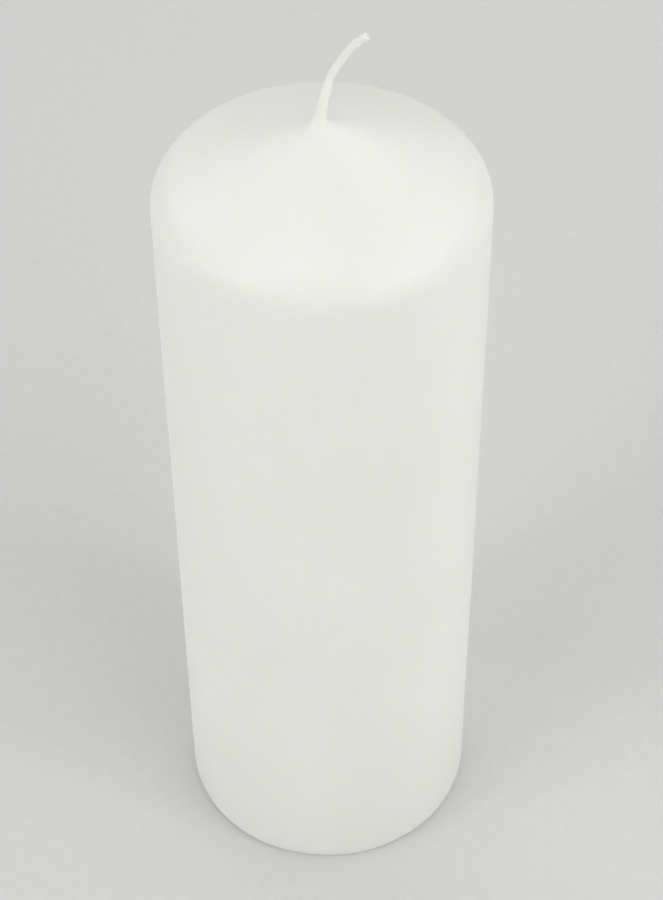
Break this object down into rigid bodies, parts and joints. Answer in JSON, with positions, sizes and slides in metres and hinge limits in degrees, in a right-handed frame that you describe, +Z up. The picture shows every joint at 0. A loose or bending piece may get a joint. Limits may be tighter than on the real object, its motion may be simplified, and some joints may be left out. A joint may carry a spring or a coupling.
{
  "type": "pillar candle",
  "caption": "Smooth white pillar candle with a rounded shoulder, a shallow cone top and a bent braided wick.",
  "frame": {"origin": "centre of the base, where the candle stands", "axes": "+Z up along the candle's axis, +X the way the wick leans"},
  "size_m": [0.07, 0.07, 0.2262],
  "materials": {
    "cast_wax": "white candle wax as cast, softly translucent",
    "pour_wax": "white candle wax, levelled by hand over the well",
    "skin_wax": "hard white dipping wax, smooth, satin, softly translucent",
    "wick_cotton": "bleached braided cotton, primed with wax",
    "tab_steel": "thin tinned steel, pressed"
  },
  "bodies": {
    "root": {"cast_body": "cast_wax", "second_pour": "pour_wax", "dipped_skin": "skin_wax", "wick": "wick_cotton", "wick_tab": "tab_steel"}
  },
  "joints": []
}
